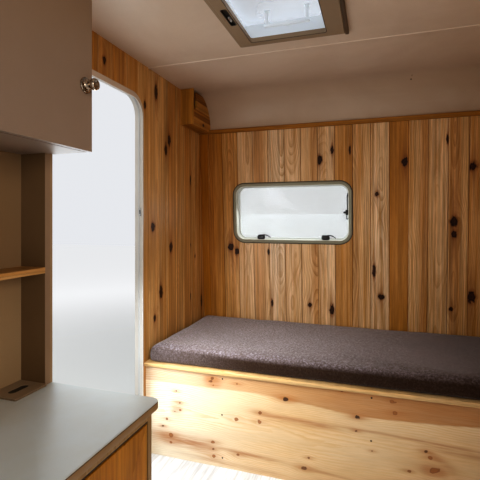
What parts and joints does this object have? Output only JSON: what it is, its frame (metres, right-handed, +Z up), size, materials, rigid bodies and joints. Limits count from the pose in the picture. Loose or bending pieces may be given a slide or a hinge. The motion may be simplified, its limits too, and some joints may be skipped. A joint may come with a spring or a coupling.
{
  "type": "caravan bed-end body section",
  "caption": "End section of a touring caravan's body: insulated walls, floor and roof, entrance door, window, roof hatch, bench bed with cushion, galley and overhead locker.",
  "frame": {"origin": "middle of the floor's underside", "axes": "+X across the body with the doorway at -X, +Y towards the closed end wall, +Z up"},
  "size_m": [2.6583, 1.9264, 1.9835],
  "materials": {
    "sandwich_core": "dry foam in the sawn edge",
    "floor_vinyl": "matt pale plank pattern",
    "pine_cladding": "satin varnish, orange with age",
    "pine_board": "satin varnish, pale",
    "body_skin": "satin white",
    "rail_metal": "satin",
    "ceiling_lining": "satin beige",
    "furniture_laminate": "satin grey beige",
    "worktop_laminate": "fine speckle, satin",
    "window_frame": "satin grey",
    "clear_acrylic": "clear, polished",
    "seal_rubber": "matt",
    "black_plastic": "satin",
    "hatch_frame": "moulded, satin",
    "white_plastic": "satin",
    "door_frame": "satin",
    "door_panel": "satin white",
    "hinge_steel": "satin",
    "knob_metal": "polished, browned",
    "cushion_cloth": "melange wool"
  },
  "bodies": {
    "body_shell": {"floor_core": "sandwich_core", "door_wall_core": "sandwich_core", "off_wall_core": "sandwich_core", "end_wall_core": "sandwich_core", "roof_core": "sandwich_core", "floor_planks": "floor_vinyl", "door_wall_boards": "pine_cladding", "off_wall_boards": "pine_cladding", "end_wall_boards": "pine_cladding", "corner_box": "pine_cladding", "corner_box_slats": "pine_cladding", "bench_front": "pine_board", "bench_top": "pine_board", "end_ledge": "pine_board", "niche_shelf": "pine_board", "door_wall_skin": "body_skin", "off_wall_skin": "body_skin", "end_wall_skin": "body_skin", "roof_skin": "body_skin", "edge_rails": "rail_metal", "roof_end_moulding": "rail_metal", "window_hinge_rail": "rail_metal", "ceiling_panel": "ceiling_lining", "ceiling_end_panel": "ceiling_lining", "ceiling_joint_strip": "ceiling_lining", "galley_carcass": "furniture_laminate", "galley_wall_lining": "furniture_laminate", "niche_ends": "furniture_laminate", "niche_cladding": "furniture_laminate", "locker_carcass": "furniture_laminate", "worktop": "worktop_laminate", "window_frame": "window_frame", "niche_cover": "window_frame", "window_pane": "clear_acrylic", "window_seal": "seal_rubber", "window_catches": "black_plastic", "window_stay": "black_plastic", "hatch_inner_frame": "hatch_frame", "hatch_collar": "white_plastic", "hatch_hinge_feet": "white_plastic", "door_frame": "door_frame", "door_hinge_feet": "hinge_steel", "cabinet_hinge_feet": "hinge_steel", "cushion": "cushion_cloth"},
    "entrance_door": {"door_leaf": "door_panel", "door_plate": "door_panel", "door_handles": "black_plastic", "door_hinge_straps": "hinge_steel"},
    "galley_cabinet_door": {"galley_door": "pine_cladding", "galley_knob": "knob_metal", "galley_hinge_leaves": "hinge_steel"},
    "overhead_locker_door": {"locker_door": "furniture_laminate", "locker_knob": "knob_metal", "locker_hinge_leaves": "hinge_steel"},
    "roof_hatch_lid": {"hatch_lid": "clear_acrylic", "hatch_handle": "white_plastic", "hatch_hinge_arms": "white_plastic"}
  },
  "joints": [
    {"name": "entrance_door_hinge", "type": "hinge", "parent": "body_shell", "child": "entrance_door", "pos_m": [-1.0295, -0.4515, 0.9], "axis": [0, 0, 1], "range_deg": [-105, 60]},
    {"name": "galley_door_hinge", "type": "hinge", "parent": "body_shell", "child": "galley_cabinet_door", "pos_m": [-0.513, -0.921, 0.36], "axis": [0, 0, -1], "range_deg": [0, 100]},
    {"name": "overhead_door_hinge", "type": "hinge", "parent": "body_shell", "child": "overhead_locker_door", "pos_m": [-0.731, -0.9385, 1.62], "axis": [0, 0, -1], "range_deg": [0, 90]},
    {"name": "roof_hatch_hinge", "type": "hinge", "parent": "body_shell", "child": "roof_hatch_lid", "pos_m": [-0.2485, -0.335, 1.9325], "axis": [1, 0, 0], "range_deg": [0, 55]}
  ]
}
